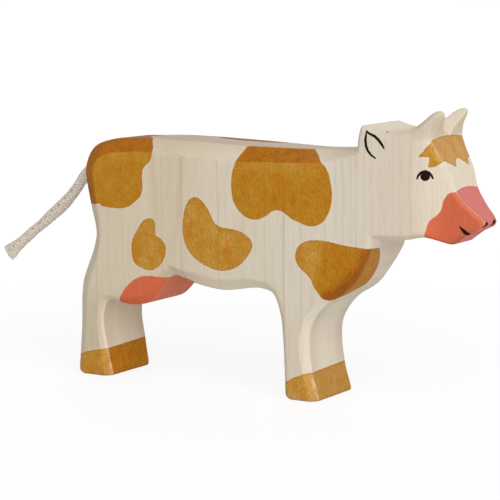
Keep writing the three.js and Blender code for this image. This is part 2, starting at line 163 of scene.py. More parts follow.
# The cord's core, its strands and its slow lumps, as shares of its radius.
CORE, STRAND_RELIEF, LUMP_RELIEF = 0.9, 0.085, 0.05


# %% Strands of the braid
def even_steps(line, count):
    """The same line, with its points at even distances."""
    along = np.concatenate([[0], np.cumsum(np.linalg.norm(np.diff(line, axis=0), axis=1))])
    at = np.linspace(0, along[-1], count)
    return np.stack([np.interp(at, along, line[:, k]) for k in range(3)], axis=1), at


def braid_height(turn, along, strands=12, pitch=7.6 * MM):
    """How far the top strand stands out at a place, from 0 in a gap to 1 on a crown."""
    right = strands / 2 * (turn + along / pitch)
    left = strands / 2 * (turn - along / pitch)
    over_right = np.cos(np.pi * (right - np.round(right)))
    over_left = np.cos(np.pi * (left - np.round(left)))
    weave_right = 1 + 0.4 * np.cos(np.pi * left) * np.where(np.round(right) % 2, -1, 1)
    weave_left = 1 - 0.4 * np.cos(np.pi * right) * np.where(np.round(left) % 2, -1, 1)
    return np.maximum(over_right**0.6 * weave_right, over_left**0.6 * weave_left) / 1.4


def pits(turn, along):
    """1 in the middle of a deep gap, 0 away from it."""
    depth = np.zeros_like(turn)
    for place in PIT_AT:
        around = (np.mod(turn - PIT_TURN + 0.5, 1) - 0.5) * 2 * math.pi * CORD_RADIUS / MM
        depth += np.exp(-((around / 0.34) ** 2) - ((along / MM - place) / 0.42) ** 2)
    return depth


def surface_noise(turn, along, fineness):
    def spot(t, s):
        return Vector((math.cos(t * 2 * math.pi), math.sin(t * 2 * math.pi), s / CORD_RADIUS)) * fineness

    return np.array([[noise.noise(spot(t, s)) for t in turn] for s in along])


def braided_tube(name, line, rings, sides, shaped):
    """A closed braided tube. A shaped one has the free cord's thick places, sag, pits and flared end."""
    centres, along = even_steps(line, rings)
    forward = np.gradient(centres, axis=0)
    forward /= np.linalg.norm(forward, axis=1)[:, None]
    across = np.array([0.0, 1.0, 0.0])
    below = np.cross(forward, across)
    turn = np.arange(sides) / sides
    turn_grid, along_grid = np.meshgrid(turn, along)
    crown = braid_height(turn_grid, along_grid) * (1 + 0.35 * surface_noise(turn, along, 4.1))
    crown = crown + 0.3 * surface_noise(turn, along, 2.3)
    lumps = surface_noise(turn, along, 1.3)
    width, thickness = np.ones(rings), np.ones(rings)
    if shaped:
        crown = crown - 0.85 * pits(turn_grid, along_grid)
        width = np.interp(along / MM, WIDTH_AT, WIDTH_SHARE)
        thickness = np.interp(along / MM, WIDTH_AT, THICK_SHARE)
        centres = centres + below * (np.interp(along / MM, SAG_AT, SAG) * MM)[:, None]
    radius = CORD_RADIUS * (CORE + STRAND_RELIEF * crown + LUMP_RELIEF * lumps)
    angle = turn_grid * 2 * math.pi
    ring_points = (
        centres[:, None, :]
        + below[:, None, :] * (radius * width[:, None] * np.cos(angle))[..., None]
        + across * (radius * thickness[:, None] * np.sin(angle))[..., None]
    )
    points = ring_points.reshape(-1, 3).tolist()
    faces = []
    for i in range(rings - 1):
        for k in range(sides):
            n = (k + 1) % sides
            faces.append((i * sides + k, i * sides + n, (i + 1) * sides + n, (i + 1) * sides + k))
    for end, centre in ((0, centres[0]), (rings - 1, centres[-1])):
        points.append(centre.tolist())
        for k in range(sides):
            a, b = end * sides + k, end * sides + (k + 1) % sides
            faces.append((len(points) - 1, a, b) if end else (len(points) - 1, b, a))
    mesh = bpy.data.meshes.new(name)
    mesh.from_pydata(points, [], faces)
    mesh.polygons.foreach_set("use_smooth", [True] * len(mesh.polygons))
    crown_values = np.concatenate([crown.ravel(), [0.5, 0.5]]).astype(np.float32)
    mesh.attributes.new("crown", "FLOAT", "POINT").data.foreach_set("value", crown_values)
    made = bpy.data.objects.new(name, mesh)
    scene.collection.objects.link(made)
    return made, centres


# %% Free cord, which bends at the bore
tail, tail_path = braided_tube("tail_braid", cord_line, rings=440, sides=72, shaped=True)
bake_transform(tail)
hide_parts("tail_cord")
print("tail braid:", len(tail.data.polygons), "faces")

# %% Cord inside the bore
root_line = np.array([BORE_MOUTH + INTO_RUMP * d * MM for d in (2.5, 5, 8, 11)])
tail_root, _ = braided_tube("tail_root_braid", root_line, rings=60, sides=32, shaped=False)
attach(tail_root, "cow")
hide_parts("tail_root")

# %% [markdown]
# ## Loose ends at the cut
# Scissors leave the strands of a cotton cord free for a millimetre or two, and the yarns stand apart. A
# few dozen thin tapered yarns are enough to read as a cut end. Hair particles would look softer, but they
# aren't mesh and would be lost when the model leaves Blender.


# %% Yarns at the cut end
def yarn_tuft(name, tip, forward, count, seed, rings=5, sides=6):
    rng = np.random.default_rng(seed)
    across = np.array([0.0, 1.0, 0.0])
    upward = np.cross(forward, across)
    points, faces = [], []
    for _ in range(count):
        angle, reach = rng.uniform(0, 2 * math.pi), math.sqrt(rng.uniform(0.02, 1))
        outward = upward * math.cos(angle) * 2.6 + across * math.sin(angle) * 0.85
        start = tip - forward * 0.5 * MM + outward * reach * MM
        bend = outward * rng.uniform(0.0, 0.1) * reach * MM
        long = rng.uniform(0.5, 0.9) * MM
        for ring in range(rings):
            share = ring / (rings - 1)
            centre = start + forward * long * share + bend * share**2
            thick = 0.27 * MM * (1 - 0.45 * share**2)
            for side in range(sides):
                a = side / sides * 2 * math.pi
                points.append(centre + (upward * math.cos(a) + across * math.sin(a)) * thick)
        base = len(points) - rings * sides
        for ring in range(rings - 1):
            low = base + ring * sides
            for side in range(sides):
                n = (side + 1) % sides
                faces.append((low + side, low + n, low + sides + n, low + sides + side))
        faces.append(tuple(base + (rings - 1) * sides + side for side in range(sides)))
        faces.append(tuple(base + sides - 1 - side for side in range(sides)))
    mesh = bpy.data.meshes.new(name)
    mesh.from_pydata([p.tolist() for p in points], [], faces)
    mesh.polygons.foreach_set("use_smooth", [True] * len(mesh.polygons))
    mesh.attributes.new("crown", "FLOAT", "POINT").data.foreach_set(
        "value", np.full(len(points), 0.75, np.float32)
    )
    made = bpy.data.objects.new(name, mesh)
    scene.collection.objects.link(made)
    return made


end_direction = tail_path[-1] - tail_path[-6]
end_direction /= np.linalg.norm(end_direction)
cut_yarns = yarn_tuft("tail_cut_yarns", tail_path[-1], end_direction, 150, seed=7)
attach(cut_yarns, "tail")

# %% [markdown]
# ## Carved body
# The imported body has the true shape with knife-sharp creases. A real one is sanded after the carving, so
# every crease is a little round. A Bevel modifier would do that on tidy quads, but this mesh is made of
# long triangles. Instead the body is covered with an even skin of small faces (a voxel remesh), each
# point is put back on the carved surface, and two rounds of averaging with the neighbours wear the
# creases down while the flats stay flat.

# %% Skin of even faces
SKIN_STEP = 0.56 * MM
cad_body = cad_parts["body"]
body = bpy.data.objects.new("carved_body", cad_body.data.copy())
scene.collection.objects.link(body)
remesh = body.modifiers.new("even faces", "REMESH")
remesh.mode = "VOXEL"
remesh.voxel_size = SKIN_STEP
bpy.context.view_layer.update()
evaluated = body.evaluated_get(bpy.context.evaluated_depsgraph_get())
skin = bpy.data.meshes.new_from_object(evaluated)
body.modifiers.clear()
body.data = skin
skin.name = "carved_body"
skin.materials.clear()
skin.polygons.foreach_set("use_smooth", [True] * len(skin.polygons))


def read_points(mesh):
    co = np.zeros(len(mesh.vertices) * 3)
    mesh.vertices.foreach_get("co", co)
    return co.reshape(-1, 3)


print("body skin:", len(skin.polygons), "faces")


# %% Facets of the carving
def facet_tree(mesh, low, high):
    """Search tree of the faces whose normal has a share from low to high along the board's width."""
    co = [v.co for v in mesh.vertices]
    chosen = [tuple(p.vertices) for p in mesh.polygons if low <= abs(p.normal.y) < high]
    return BVHTree.FromPolygons(co, chosen)


# That share is small on the sawn edge and nearly 1 on a flat side. The bevels lie between.
EDGE_MOST, SIDE_LEAST, NO_LIMIT = 0.12, 0.88, 2.0
whole = facet_tree(cad_body.data, 0.0, NO_LIMIT)
edge_face = facet_tree(cad_body.data, 0.0, EDGE_MOST)
bevels = facet_tree(cad_body.data, EDGE_MOST, SIDE_LEAST)
sides = facet_tree(cad_body.data, SIDE_LEAST, NO_LIMIT)
# Distances in mm beyond this one make no difference to the looks.
FAR = 4.0


def distances(tree, points):
    return np.array([tree.find_nearest(Vector(p))[3] for p in points]) / MM


rough_points = read_points(skin)
carved = np.array([whole.find_nearest(Vector(p))[0] for p in rough_points])
from_edge_face, from_bevel, from_side = (distances(t, carved) for t in (edge_face, bevels, sides))
# Positive on the bevels and sides, negative on the sawn edge; then positive on the flat sides only.
past_outer_crease = from_edge_face - np.minimum(from_bevel, from_side)
past_inner_crease = np.minimum(from_edge_face, from_bevel) - from_side
# The wall of the bore isn't a carved face, so it counts as far from every crease.
at_bore_height = (carved[:, 2] > 60 * MM) & (carved[:, 2] < 80 * MM)
in_bore = (np.abs(carved[:, 1]) < 4 * MM) & (carved[:, 0] < -55 * MM) & at_bore_height
past_outer_crease[in_bore] = -FAR
past_inner_crease[in_bore] = -FAR


# %% Worn creases
def average_of_neighbours(points, edges):
    count = np.bincount(edges.ravel(), minlength=len(points))
    total = np.zeros_like(points)
    for k in range(3):
        total[:, k] = np.bincount(edges[:, 0], points[edges[:, 1], k], len(points))
        total[:, k] += np.bincount(edges[:, 1], points[edges[:, 0], k], len(points))
    return total / count[:, None]


edges = np.zeros(len(skin.edges) * 2, int)
skin.edges.foreach_get("vertices", edges)
edges = edges.reshape(-1, 2)
SANDING_ROUNDS, SANDING_SHARE = 2, 0.6
sanded = carved.copy()
for _ in range(SANDING_ROUNDS):
    sanded += SANDING_SHARE * (average_of_neighbours(sanded, edges) - sanded)
moved = np.linalg.norm(sanded - carved, axis=1) / MM
print("most that sanding moves a point, mm:", round(float(moved.max()), 2))
# In the photograph the far edge of the back lies a little lower than the near one. These are the mm at places
# along the cow.
LOWER_AT = [-68, -63, -60, -57, -54, -51, -48, -45, -42, -38, -28]
LOWER_BY = [0, 0.2, 0.25, 0.35, 0.5, 0.48, 0.4, 0.3, 0.17, 0.1, 0]
to_far_side = np.clip((carved[:, 1] / MM + 7) / 13, 0, 1)
on_far_edge = (0.3 + 0.7 * to_far_side) * np.clip((carved[:, 2] / MM - 70) / 6, 0, 1)
sanded[:, 2] -= np.interp(carved[:, 0] / MM, LOWER_AT, LOWER_BY) * MM * on_far_edge
skin.vertices.foreach_set("co", sanded.ravel())
skin.update()

# %% [markdown]
# ## Outlines of the paint
# The patches are free shapes that someone brushed on by hand, so no simple shape of a texture node gives
# them. Each is drawn here as a smooth loop through given points in the side view (x, z in mm). For
# each point of the skin the script works out how far inside the loop it lies. A material can cut that
# distance at 0 and gets an edge far finer than the skin's faces. An image texture would be the usual way,
# but this model carries none.

# %% Patches on the cow's right side
RUMP = [
    (-82, 92), (-60, 95), (-45.6, 90), (-44.6, 82.6), (-42.6, 78.6), (-43.1, 75.6), (-46.1, 72.6),
    (-46.6, 69.5), (-46.4, 66.5), (-47.2, 63.3), (-49.6, 61.1), (-51.9, 59.5), (-54.7, 58.6),
    (-57.5, 58.5), (-60.5, 58.6), (-62.9, 58.8), (-63.9, 59.4), (-64.6, 59.7), (-65.4, 59.4),
    (-66.7, 59.2), (-68.7, 59), (-70.4, 59), (-80, 59),
]
THIGH = [
    (-45.7, 55.4), (-44.2, 55.9), (-42.5, 55.8), (-41.5, 54.7), (-41.3, 52.4), (-41.1, 50.4),
    (-39.3, 49.4), (-37.7, 47.9), (-37.1, 46), (-37.6, 43.4), (-38.9, 41), (-40.9, 39.3), (-42.8, 38.4),
    (-45.1, 38.4), (-47.8, 39.1), (-49.8, 40.4), (-50.8, 42.4), (-51.2, 45.3), (-50.8, 47.9),
    (-49.3, 50.8), (-47.3, 53.7),
]
FLANK = [
    (-27.2, 63.6), (-25.2, 64.2), (-22.7, 63), (-19.9, 59.6), (-18.1, 56.4), (-15.4, 54.9), (-10.3, 54.4),
    (-6.5, 53.4), (-4, 51.5), (-3.3, 49.5), (-4.6, 46.7), (-7.1, 43.8), (-10.3, 41.6), (-14.8, 40.4),
    (-20, 41.1), (-25.2, 43.5), (-28.8, 47.1), (-30.3, 51.5), (-30.3, 56.4), (-29.2, 60.9),
]
WITHERS = [
    (-6.8, 88), (-7.3, 82), (-9.8, 76.8), (-11.2, 72.4), (-11.4, 67.5), (-10.4, 63.2), (-7.9, 60.1),
    (-4.8, 58.4), (-1.2, 58.3), (1.7, 59.6), (4.6, 61.5), (7.3, 61.6), (11.7, 59.2), (14.6, 58.2),
    (17.4, 57.4), (20.3, 57.7), (22.9, 59.1), (24.7, 61.5), (25.9, 64.8), (26.2, 67.7), (25.6, 72.1),
    (23.8, 76.5), (19.6, 79.4), (15.2, 82), (15, 88),
]
SHOULDER = [
    (14.4, 51.2), (16.6, 52.4), (19.3, 53), (24, 53), (30, 52.2), (35.5, 51.8), (39.4, 51.5), (44, 51.2),
    (46, 46), (41, 37.5), (34, 34.4), (29.7, 34.6), (27.3, 34.7), (25.2, 33.7), (23.6, 33.6),
    (22.4, 34.8), (19.8, 37.7), (18.4, 40.5), (16, 42.6), (13.9, 44.3), (12.8, 46.7), (13.1, 49.3),
]

# %% Patches on the cow's left side, which the photograph doesn't show
# Each is a patch of the right side, mirrored, moved, flattened or turned over.
BACK_LEFT = [(-9.5 - x * np.interp(z, [70, 80], [1, 1.25]), z) for x, z in reversed(WITHERS)]
FLANK_LEFT = [(-34 - x, 16.8 + 0.6 * z) for x, z in reversed(FLANK)]
THIGH_LEFT = [(x + 1.4, 94.4 - z) for x, z in reversed(THIGH)]
SHOULDER_LEFT = [(46 - x, z) for x, z in reversed(SHOULDER)]

# %% Paint on the head, legs and udder, the same on both sides
FORELOCK_SIDE = [
    (60.4, 92), (60.2, 86.6), (59.0, 84.8), (57.7, 83.1), (56.2, 81.3), (58.2, 81.5), (59.6, 81.3),
    (59.4, 79.8), (59.1, 78.2), (61.2, 78.5), (62.4, 79.3), (63.2, 80), (66, 82), (66, 92),
]
FORELOCK_FRONT = [
    (-14, 81), (-10.4, 79.6), (-8.4, 80.1), (-5.6, 78.9), (-2.8, 77.8), (-1.2, 79.6), (0.9, 80.5),
    (3.6, 79.2), (6.3, 77.8), (7.2, 79.2), (8.2, 80.2), (10.4, 79.8), (14, 81), (14, 92), (-14, 92),
]
FORELOCK_TOP = 87.4
MUZZLE = [
    (66.9, 70.7), (65.4, 70.4), (64.1, 69), (63.4, 66.9), (62.8, 64.8), (61.6, 63.2), (60, 61.9),
    (59.1, 60.2), (58.6, 58), (58, 56.4), (57, 54), (57, 46), (84, 46), (84, 70.4), (74, 70.6),
]
UDDER = [
    (-58.8, 25.4), (-56.6, 27.4), (-54, 31.2), (-51.1, 34), (-47.8, 35.8), (-44.5, 36.4), (-41, 36.4),
    (-39.3, 36.1), (-38, 36.1), (-36.4, 36.6), (-35, 37), (-33.4, 36.9), (-31.2, 36.5), (-29, 36),
    (-27, 35.2), (-26, 33), (-36, 26), (-42, 21), (-58.8, 21),
]
# Height of the stain on the hooves at places along the cow.
HOOF_LINE = [
    (-76, 6.1), (-74.3, 6.7), (-70.1, 8.5), (-65.9, 9.4), (-62.8, 9.9), (-60, 10.1), (7, 4.9), (7.8, 5.3),
    (11.8, 7.7), (15.7, 9.3), (17.9, 9.7), (21, 9.9),
]


# %% How far inside a loop each point lies
def inside_by(loop, across, height):
    """Signed distance in mm to a closed loop, positive inside. Far points get a rough value only."""
    result = np.full(len(across), -FAR)
    low, high = loop.min(axis=0) - FAR, loop.max(axis=0) + FAR
    near = (across > low[0]) & (across < high[0]) & (height > low[1]) & (height < high[1])
    px, pz = across[near], height[near]
    best, inside = np.full(len(px), 1e9), np.zeros(len(px), bool)
    for (ax, az), (bx, bz) in zip(loop, np.roll(loop, -1, axis=0)):
        dx, dz = bx - ax, bz - az
        t = np.clip(((px - ax) * dx + (pz - az) * dz) / (dx * dx + dz * dz), 0, 1)
        best = np.minimum(best, (px - ax - t * dx) ** 2 + (pz - az - t * dz) ** 2)
        with np.errstate(divide="ignore", invalid="ignore"):
            crosses = ((az > pz) != (bz > pz)) & (px < ax + (pz - az) / dz * dx)
        inside ^= crosses
    result[near] = np.where(inside, 1, -1) * np.minimum(np.sqrt(best), FAR)
    return result


x, y, z = (carved / MM).T
on_right, on_left = y < 0, y > 0


def patch(points, where, rounded=True):
    loop = sweep(points, closed=True, steps=6) if rounded else np.array(points, float)
    return np.where(where, inside_by(loop, x, z), -FAR)


right_patches = [patch(p, on_right) for p in (RUMP, THIGH, FLANK, WITHERS, SHOULDER)]
left_patches = [patch(p, on_left) for p in (RUMP, THIGH_LEFT, FLANK_LEFT, BACK_LEFT, SHOULDER_LEFT)]
# The brush runs a little past the outer crease, and further over the back on the left.
over_crease = np.where((x < -40) & (z > 60), 0.9, 0.3)
wide_over_back = 6.5 * np.sqrt(np.clip(1 - ((x + 17.2) / 15.6) ** 2, 0, 1))
over_crease = np.where(on_left, np.maximum(wide_over_back, over_crease), over_crease)
over_crease = np.where(on_left & (x < -41) & (z > 70), 1.3, over_crease)
# The two patches on the rump meet on top of it.
meets = np.clip((-x - 45.5 - 0.34 * (y + 9.5)) / 3.5, 0, 1)
over_crease = over_crease + 9.5 * meets * np.clip((z - 74.5) / 3, 0, 1)
side_patches = np.minimum(np.max(right_patches + left_patches, axis=0), past_outer_crease + over_crease)

# %% Forelock, hooves, muzzle and udder
everywhere = np.ones(len(x), bool)
on_front = past_outer_crease < 0
forelock = np.where(
    on_front,
    inside_by(np.array(FORELOCK_FRONT, float), y, z),
    patch(FORELOCK_SIDE, everywhere, rounded=False),
)
forelock = np.where(x > 55, np.minimum(forelock, FORELOCK_TOP - z - 0.0075 * y**2), -FAR)
line_x, line_z = zip(*HOOF_LINE)
hooves = np.interp(x, line_x, line_z) + 0.02 * y - z
ochre = np.maximum.reduce([side_patches, forelock, np.clip(hooves, -FAR, FAR)])
arch = np.where(z > 64, np.clip(1 - (y / 8.5) ** 2, 0, 1), 0)
muzzle = inside_by(sweep(MUZZLE, closed=True, steps=6), x, z - arch)
udder = patch(UDDER, everywhere)
coral = np.maximum(muzzle, udder)

# %% How deep the stain is
def rise(value, low, high):
    t = np.clip((value - low) / (high - low), 0, 1)
    return t * t * (3 - 2 * t)


past_knife_crease = -past_inner_crease
past_edge = rise(past_outer_crease, -0.3, 0.3)
on_bevel = rise(past_knife_crease, -0.3, 0.3) * past_edge
high_up = rise(z, 57.5, 59.5)
deep = np.full(len(x), 0.34)
deep += 0.3 * high_up * rise(-x, 40, 42)
withers_side = np.maximum(right_patches[3], left_patches[3])
deep += 0.3 * rise(withers_side, -0.5, 0.2)
deep += 0.5 * on_bevel * high_up
beside_knife_crease = rise(past_inner_crease, -0.3, 0.3) * (1 - rise(past_inner_crease, 1.5, 4.5))
deep -= 0.2 * beside_knife_crease * rise(z, 68, 72)
deep += 0.2 * np.exp(-(((x - 9) / 8) ** 2) - ((z - 65) / 5) ** 2)
on_shoulder = rise(np.maximum(right_patches[4], left_patches[4]), -0.6, 0)
lobe = rise(x, 19.5 - 0.18 * (44 - z), 24 - 0.18 * (44 - z))
streak_end = rise(past_knife_crease, 2.0 + 0.13 * (50 - z), 3.0 + 0.13 * (50 - z))
streak = rise(past_knife_crease, -3.0, 1.6) * (1 - streak_end)
deep += on_shoulder * (0.5 * lobe + 0.5 * streak - 0.3 * streak_end)
deep += 0.5 * (1 - past_edge) * high_up
low_down = rise(-z, -12, -10.8)
hind = x < -30
on_strip = 1 - rise(past_outer_crease, -0.25, 0.25)
hoof_tone = np.where(hind, 0.3 + 0.64 * on_strip, 0.17 + 0.05 * on_strip) - 0.14 * on_bevel
deep = deep * (1 - low_down) + hoof_tone * low_down
forelock_tone = 0.45 - 0.3 * on_bevel - 0.42 * on_strip
deep = np.where(x > 55, forelock_tone, deep)

# %% How much hands have worn a place, and how strong the painted highlight on its creases is
wear_and_highlight = np.where(x > 50, rise(z, 58, 60), 0.25) * (1 - low_down) + 0.8 * low_down

for name, values in {
    "ochre": ochre,
    "coral": coral,
    "deep": deep,
    "outer_crease": past_outer_crease,
    "inner_crease": past_inner_crease,
    "wear_and_highlight": wear_and_highlight,
}.items():
    skin.attributes.new(name, "FLOAT", "POINT").data.foreach_set("value", values.astype(np.float32))
    print(name, "from", round(float(values.min()), 2), "to", round(float(values.max()), 2))

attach(body, "cow")
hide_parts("body")

# %% [markdown]
# ## Shader sums in Python
# A material is a graph of nodes, and most of the graphs below are sums. This small class wraps one output
# socket so that a sum can be written as Python: `1 - mask` adds a Math node. Colours and vectors have
# their own methods, because a Math node would turn them grey. Every other node comes from `node`.


# %% Wire: one output socket that can be reckoned with
class Wire:
    def __init__(self, tree, socket=None):
        self.tree, self.socket = tree, socket

    def node(self, kind, settings=None, sockets=None, output=0):
        """Adds a node, applies its settings, then fills or links its input sockets."""
        made = self.tree.nodes.new(kind)
        for name, value in (settings or {}).items():
            setattr(made, name, value)
        for key, value in (sockets or {}).items():
            if isinstance(value, Wire):
                self.tree.links.new(value.socket, made.inputs[key])
            else:
                made.inputs[key].default_value = value
        return Wire(self.tree, made.outputs[output] if len(made.outputs) else None)

    def math(self, operation, *values):
        return self.node("ShaderNodeMath", {"operation": operation}, dict(enumerate(values)))

    def __add__(self, other):
        return self.math("ADD", self, other)

    def __radd__(self, other):
        return self.math("ADD", other, self)

    def __sub__(self, other):
        return self.math("SUBTRACT", self, other)

    def __rsub__(self, other):
        return self.math("SUBTRACT", other, self)

    def __mul__(self, other):
        return self.math("MULTIPLY", self, other)

    def __rmul__(self, other):
        return self.math("MULTIPLY", other, self)

    def __truediv__(self, other):
        return self.math("DIVIDE", self, other)

    def __abs__(self):
        return self.math("ABSOLUTE", self)

    def least(self, other):
        return self.math("MINIMUM", self, other)

    def most(self, other):
        return self.math("MAXIMUM", self, other)

    def rise(self, low, high):
        """0 below low, 1 above high, and a smooth rise between them."""
        return self.node(
            "ShaderNodeMapRange",
            {"interpolation_type": "SMOOTHSTEP"},
            {"Value": self, "From Min": low, "From Max": high},
        )

    def blend(self, other, share):
        """Mixes two colours: this one at share 0, the other at share 1."""
        return mix_colours(self.tree, self, other, share)

    def ramp(self, stops):
        """The colour at this value, between stops of (place, colour)."""
        made = self.node("ShaderNodeValToRGB", {}, {0: self})
        elements = made.socket.node.color_ramp.elements
        while len(elements) > 1:
            elements.remove(elements[-1])
        for i, (place, colour) in enumerate(stops):
            element = elements[0] if i == 0 else elements.new(place)
            element.position = place
            element.color = colour
        return made

    def vector(self, operation, *values, output=0):
        return self.node("ShaderNodeVectorMath", {"operation": operation}, dict(enumerate(values)), output)

    def stretched(self, fx, fy, fz):
        """Place in the cow's frame, times a factor along each axis."""
        return self.vector("MULTIPLY", self, (fx, fy, fz))

    def grainy(self, detail=2.0, roughness=0.5):
        return self.node(
            "ShaderNodeTexNoise", {}, {"Vector": self, "Scale": 1.0, "Detail": detail, "Roughness": roughness}
        )


def mix_colours(tree, first, second, share):
    return Wire(tree).node("ShaderNodeMix", {"data_type": "RGBA"}, {0: share, 6: first, 7: second}, output=2)


def place_in_mm(wire):
    """Place in the piece's own frame, in mm."""
    place = wire.node("ShaderNodeTexCoord", output="Object")
    return place.node("ShaderNodeVectorMath", {"operation": "SCALE"}, {0: place, "Scale": 1 / MM})


def srgb(red, green, blue):
    """A colour as seen on a screen, 0 to 255, in the linear values that shaders use."""
    return tuple(
        (c / 255 / 12.92 if c <= 10 else ((c / 255 + 0.055) / 1.055) ** 2.4) for c in (red, green, blue)
    ) + (1.0,)


def grey(value):
    return (value, value, value, 1.0)


def new_material(name):
    """An empty material and a Wire on its tree."""
    material = bpy.data.materials.new(name)
    material.use_nodes = True
    material.node_tree.nodes.clear()
    return material, Wire(material.node_tree)


def finish_material(wire, colour, roughness, height, relief, **constants):
    """Principled shader with a bump; relief is the bump's height in metres."""
    bump = wire.node("ShaderNodeBump", {}, {"Strength": 1.0, "Distance": relief, "Height": height})
    shader = wire.node(
        "ShaderNodeBsdfPrincipled",
        {},
        {"Base Color": colour, "Roughness": roughness, "Normal": bump, **constants},
    )
    wire.node("ShaderNodeOutputMaterial", {}, {"Surface": shader})


# %% [markdown]
# ## Maple, stain and paint
# The wood is one solid texture that runs through the board, as in a real one: growth lines are thin
# sheets across the board, so they are upright lines on the side and long arcs on the back's bevel. The
# fibres are noise that is stretched along the grain, which runs upright here, so that the legs are
# strong.

# %% Maple: growth lines and fibres
maple, wire = new_material("stained_maple")
in_mm = place_in_mm(wire)
axes = in_mm.node("ShaderNodeSeparateXYZ", {}, {0: in_mm})
along, width, upright = (Wire(axes.tree, axes.socket.node.outputs[k]) for k in range(3))


def attribute(name):
    return wire.node("ShaderNodeAttribute", {"attribute_name": name}, output="Fac")


off_side = 1 - attribute("inner_crease").rise(-0.2, 0.2)
on_edge = 1 - attribute("outer_crease").rise(-0.2, 0.2)
cut = off_side * (1 - on_edge)
fibres = in_mm.stretched(2.2, 2.2, 0.08).grainy(3.0, 0.65)
fine_fibres = in_mm.stretched(7.0, 7.0, 0.35).grainy(2.0, 0.6)
cloud = in_mm.stretched(0.06, 0.1, 0.035).grainy(2.0)
speckle = in_mm.stretched(3.2, 3.2, 2.2).grainy(3.0, 0.65)

# Place along the cow in mm and darkness of each growth line. A ramp takes 32 stops, so there are three lists.
GROWTH_LINES = [
    [(-65.7, 0.8), (-60.2, 0.4), (-54.4, 0.5), (-43.2, 0.5), (-38.4, 0.7), (-30.8, 0.9), (-24.5, 0.3),
     (-16.4, 1.0), (-7.2, 0.6), (1.5, 1.0)],
    [(8.3, 1.0), (15.0, 0.7), (19.3, 0.6), (23.7, 0.7), (27.7, 0.8), (30.5, 0.7), (33.1, 0.7), (35.2, 0.7),
     (38.3, 0.5), (40.7, 0.6)],
    [(43.2, 0.4), (45.4, 0.4), (47.9, 0.4), (50.3, 0.4), (53.9, 0.6), (57.4, 0.4), (60.8, 0.4), (64.6, 0.3),
     (68.5, 0.3), (72.0, 0.3)],
]
# The ramps along the cow run from -76 mm to 76 mm. A line fades in over 0.5 mm and out over 0.3 mm.
HALF_SPAN, SPAN = 76, 152
FADE_IN, FADE_OUT = 0.0034, 0.0018
HALF_BOARD, ARC_STRETCH = 13.5, 6.5
wobble = in_mm.stretched(0.02, 0.05, 0.045).grainy(2.0)
lean = (along + 0.03 * (upright - 50) * (wobble - 0.2) + 1.3 * (wobble - 0.5) + HALF_SPAN) / SPAN
# The bevel of the back cuts the lines at a low angle, so there they run along it as long arcs.
cut_depth = (HALF_BOARD - abs(width)).most(0.0) * upright.rise(75, 77) * (1 - along.rise(33, 37))
arched_lean = lean + cut_depth * (ARC_STRETCH / SPAN)


def growth_ramp(lines):
    stops = [(0.0, grey(0))]
    for at, dark in lines:
        middle = (at + HALF_SPAN) / SPAN
        stops += [(middle - FADE_IN, grey(0)), (middle, grey(dark)), (middle + FADE_OUT, grey(0))]
    return arched_lean.ramp(stops)


growth = growth_ramp(GROWTH_LINES[0])
for lines in GROWTH_LINES[1:]:
    growth = growth.most(growth_ramp(lines))

# %% Maple: colour
WOOD_ALONG = [
    (0.0, srgb(206, 193, 170)), (0.2, srgb(209, 195, 171)), (0.27, srgb(204, 189, 166)),
    (0.33, srgb(210, 198, 176)), (0.5, srgb(213, 203, 184)), (0.66, srgb(214, 204, 187)),
    (0.82, srgb(212, 199, 181)), (1.0, srgb(216, 204, 183)),
]
wood = (lean + 0.03 * (cloud - 0.5)).ramp(WOOD_ALONG)
wood = wood.blend(srgb(170, 146, 116), growth * 0.5)
wood = wood.blend(srgb(176, 154, 124), (fibres - 0.44).rise(0.0, 0.3) * 0.24)
wood = wood.blend(srgb(228, 219, 202), (0.56 - fine_fibres).rise(0.0, 0.3) * 0.22)
wood = wood.blend(srgb(196, 174, 140), (cloud - 0.5).rise(0.0, 0.25) * 0.16)
# Two soft ochre bands beside growth lines on the flank, each a place at the back and a lean.
for at_back, leaning in ((-30.5, 0.09), (-42.4, -0.05)):
    off_band = abs(along - at_back + leaning * (78 - upright))
    band = (1 - off_band.rise(0.3, 1.7)) * upright.rise(38, 62) * (1 - off_side)
    wood = wood.blend(srgb(192, 166, 120), band * 0.3)
# The legs: painted highlight on their creases, bevels and lower sawn edges, painted shade beside the creases,
# and flats a little darker towards the hooves.
low_leg = (42 - upright).rise(0, 8)
fore = along.rise(-30, -20)
below_knee = (36 - upright).rise(0, 8)
to_bevel = attribute("outer_crease")
# Painted highlight along the outer creases of the legs.
leg_crease_highlight = to_bevel.rise(-0.1, 0.2) * (1 - to_bevel.rise(0.4, 1.3)) * low_leg
wood = wood.blend(srgb(238, 229, 210), leg_crease_highlight * (0.5 - 0.42 * fore))
# Painted light: the fore legs' bevels and the legs' sawn edges below the knee are lighter.
wood = wood.blend(srgb(232, 222, 203), cut * low_leg * 0.27 * fore)
wood = wood.blend(srgb(232, 222, 203), on_edge * below_knee * (0.3 - 0.04 * fore))
wood = wood.blend(srgb(150, 134, 104), (1 - off_side) * (34 - upright).rise(0, 14) * (0.17 - 0.11 * fore))
# Painted shade on the legs' sawn edge beside the crease, below the knee.
shade_beside_leg_crease = on_edge * (1 - (0 - to_bevel).rise(0.5, 8))
wood = wood.blend(srgb(160, 140, 116), shade_beside_leg_crease * below_knee * 0.26)
# The head: its front and the ear's top get painted light, the fronts and outer sides of the horns painted
# shade.
wood = wood.blend(srgb(240, 228, 206), on_edge * along.rise(50, 56) * 0.26)
wood = wood.blend(srgb(240, 228, 206), upright.rise(87.5, 89) * (1 - along.rise(42, 48)) * on_edge * 0.3)
